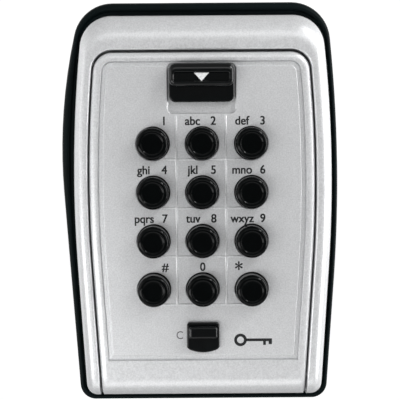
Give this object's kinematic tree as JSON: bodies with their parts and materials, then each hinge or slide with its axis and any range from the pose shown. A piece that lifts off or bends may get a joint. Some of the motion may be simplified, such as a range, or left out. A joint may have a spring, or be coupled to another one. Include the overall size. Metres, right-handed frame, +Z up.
{
  "type": "push-button key lock box",
  "caption": "Wall-mounted key safe with a silver bottom-hinged door, round push buttons, an open slider, a clear slider and a black weather sleeve.",
  "frame": {"origin": "centre of the four wall-screw holes, on the back face that lies against the wall", "axes": "+X to the right seen from the front, +Y into the wall, +Z up; the door faces -Y"},
  "size_m": [0.1018, 0.0509, 0.1472],
  "materials": {
    "silver_paint": "fine metallic silver paint, satin",
    "body_zinc": "silver-grey paint on die-cast zinc",
    "black_rubber": "moulded black elastomer, satin",
    "black_plastic": "semi-gloss black moulded plastic",
    "white_ink": "white",
    "plated_steel": "zinc-plated sheet steel",
    "bright_steel": "ground steel rod",
    "dark_screw": "black-oxide steel",
    "case_zinc": "as-cast zinc",
    "post_brass": "turned brass",
    "spring_steel": "spring wire"
  },
  "bodies": {
    "housing": {"rear_casting": "body_zinc", "front_bezel": "silver_paint", "bezel_screws": "dark_screw", "weather_sleeve": "black_rubber", "strike_plate": "plated_steel", "strike_screws": "dark_screw", "hinge_pin": "bright_steel"},
    "door": {"door_shell": "silver_paint", "guide_plate": "plated_steel", "mechanism_case": "case_zinc", "rear_cover": "plated_steel", "cover_screws": "dark_screw", "latch_springs": "spring_steel", "clear_spring": "spring_steel", "spring_1": "spring_steel", "spring_2": "spring_steel", "spring_3": "spring_steel", "spring_4": "spring_steel", "spring_5": "spring_steel", "spring_6": "spring_steel", "spring_7": "spring_steel", "spring_8": "spring_steel", "spring_9": "spring_steel", "spring_hash": "spring_steel", "spring_0": "spring_steel", "spring_star": "spring_steel"},
    "latch": {"latch_knob": "black_plastic", "latch_arrow": "white_ink", "latch_plate": "plated_steel"},
    "clear_slider": {"clear_knob": "black_plastic", "reset_bar": "plated_steel"},
    "push_1": {"button_1": "black_plastic"},
    "post_1": {"code_post_1": "post_brass"},
    "push_2": {"button_2": "black_plastic"},
    "post_2": {"code_post_2": "post_brass"},
    "push_3": {"button_3": "black_plastic"},
    "post_3": {"code_post_3": "post_brass"},
    "push_4": {"button_4": "black_plastic"},
    "post_4": {"code_post_4": "post_brass"},
    "push_5": {"button_5": "black_plastic"},
    "post_5": {"code_post_5": "post_brass"},
    "push_6": {"button_6": "black_plastic"},
    "post_6": {"code_post_6": "post_brass"},
    "push_7": {"button_7": "black_plastic"},
    "post_7": {"code_post_7": "post_brass"},
    "push_8": {"button_8": "black_plastic"},
    "post_8": {"code_post_8": "post_brass"},
    "push_9": {"button_9": "black_plastic"},
    "post_9": {"code_post_9": "post_brass"},
    "push_hash": {"button_hash": "black_plastic"},
    "post_hash": {"code_post_hash": "post_brass"},
    "push_0": {"button_0": "black_plastic"},
    "post_0": {"code_post_0": "post_brass"},
    "push_star": {"button_star": "black_plastic"},
    "post_star": {"code_post_star": "post_brass"}
  },
  "joints": [
    {"name": "door_hinge", "type": "hinge", "parent": "housing", "child": "door", "pos_m": [0, -0.0374, -0.0644], "axis": [1, 0, 0], "range_deg": [0, 100]},
    {"name": "latch_slide", "type": "slide", "parent": "door", "child": "latch", "axis": [0, 0, -1], "range_m": [0, 0.0038], "stiffness_N_per_m": 400, "springref_m": -0.005, "deforming": ["latch_springs"]},
    {"name": "clear_slide", "type": "slide", "parent": "door", "child": "clear_slider", "axis": [0, 0, -1], "range_m": [0, 0.0028], "stiffness_N_per_m": 300, "springref_m": -0.004, "deforming": ["clear_spring"]},
    {"name": "press_1", "type": "slide", "parent": "door", "child": "push_1", "axis": [0, 1, 0], "range_m": [0, 0.0025], "stiffness_N_per_m": 600, "springref_m": -0.001, "deforming": ["spring_1"]},
    {"name": "set_1", "type": "hinge", "parent": "push_1", "child": "post_1", "pos_m": [-0.0176, -0.03, 0.0206], "axis": [0, 1, 0], "range_deg": [0, 180]},
    {"name": "press_2", "type": "slide", "parent": "door", "child": "push_2", "axis": [0, 1, 0], "range_m": [0, 0.0025], "stiffness_N_per_m": 600, "springref_m": -0.001, "deforming": ["spring_2"]},
    {"name": "set_2", "type": "hinge", "parent": "push_2", "child": "post_2", "pos_m": [0, -0.03, 0.0206], "axis": [0, 1, 0], "range_deg": [0, 180]},
    {"name": "press_3", "type": "slide", "parent": "door", "child": "push_3", "axis": [0, 1, 0], "range_m": [0, 0.0025], "stiffness_N_per_m": 600, "springref_m": -0.001, "deforming": ["spring_3"]},
    {"name": "set_3", "type": "hinge", "parent": "push_3", "child": "post_3", "pos_m": [0.0176, -0.03, 0.0206], "axis": [0, 1, 0], "range_deg": [0, 180]},
    {"name": "press_4", "type": "slide", "parent": "door", "child": "push_4", "axis": [0, 1, 0], "range_m": [0, 0.0025], "stiffness_N_per_m": 600, "springref_m": -0.001, "deforming": ["spring_4"]},
    {"name": "set_4", "type": "hinge", "parent": "push_4", "child": "post_4", "pos_m": [-0.0176, -0.03, 0.0031], "axis": [0, 1, 0], "range_deg": [0, 180]},
    {"name": "press_5", "type": "slide", "parent": "door", "child": "push_5", "axis": [0, 1, 0], "range_m": [0, 0.0025], "stiffness_N_per_m": 600, "springref_m": -0.001, "deforming": ["spring_5"]},
    {"name": "set_5", "type": "hinge", "parent": "push_5", "child": "post_5", "pos_m": [0, -0.03, 0.0031], "axis": [0, 1, 0], "range_deg": [0, 180]},
    {"name": "press_6", "type": "slide", "parent": "door", "child": "push_6", "axis": [0, 1, 0], "range_m": [0, 0.0025], "stiffness_N_per_m": 600, "springref_m": -0.001, "deforming": ["spring_6"]},
    {"name": "set_6", "type": "hinge", "parent": "push_6", "child": "post_6", "pos_m": [0.0176, -0.03, 0.0031], "axis": [0, 1, 0], "range_deg": [0, 180]},
    {"name": "press_7", "type": "slide", "parent": "door", "child": "push_7", "axis": [0, 1, 0], "range_m": [0, 0.0025], "stiffness_N_per_m": 600, "springref_m": -0.001, "deforming": ["spring_7"]},
    {"name": "set_7", "type": "hinge", "parent": "push_7", "child": "post_7", "pos_m": [-0.0176, -0.03, -0.0144], "axis": [0, 1, 0], "range_deg": [0, 180]},
    {"name": "press_8", "type": "slide", "parent": "door", "child": "push_8", "axis": [0, 1, 0], "range_m": [0, 0.0025], "stiffness_N_per_m": 600, "springref_m": -0.001, "deforming": ["spring_8"]},
    {"name": "set_8", "type": "hinge", "parent": "push_8", "child": "post_8", "pos_m": [0, -0.03, -0.0144], "axis": [0, 1, 0], "range_deg": [0, 180]},
    {"name": "press_9", "type": "slide", "parent": "door", "child": "push_9", "axis": [0, 1, 0], "range_m": [0, 0.0025], "stiffness_N_per_m": 600, "springref_m": -0.001, "deforming": ["spring_9"]},
    {"name": "set_9", "type": "hinge", "parent": "push_9", "child": "post_9", "pos_m": [0.0176, -0.03, -0.0144], "axis": [0, 1, 0], "range_deg": [0, 180]},
    {"name": "press_hash", "type": "slide", "parent": "door", "child": "push_hash", "axis": [0, 1, 0], "range_m": [0, 0.0025], "stiffness_N_per_m": 600, "springref_m": -0.001, "deforming": ["spring_hash"]},
    {"name": "set_hash", "type": "hinge", "parent": "push_hash", "child": "post_hash", "pos_m": [-0.0176, -0.03, -0.0319], "axis": [0, 1, 0], "range_deg": [0, 180]},
    {"name": "press_0", "type": "slide", "parent": "door", "child": "push_0", "axis": [0, 1, 0], "range_m": [0, 0.0025], "stiffness_N_per_m": 600, "springref_m": -0.001, "deforming": ["spring_0"]},
    {"name": "set_0", "type": "hinge", "parent": "push_0", "child": "post_0", "pos_m": [0, -0.03, -0.0319], "axis": [0, 1, 0], "range_deg": [0, 180]},
    {"name": "press_star", "type": "slide", "parent": "door", "child": "push_star", "axis": [0, 1, 0], "range_m": [0, 0.0025], "stiffness_N_per_m": 600, "springref_m": -0.001, "deforming": ["spring_star"]},
    {"name": "set_star", "type": "hinge", "parent": "push_star", "child": "post_star", "pos_m": [0.0176, -0.03, -0.0319], "axis": [0, 1, 0], "range_deg": [0, 180]}
  ]
}
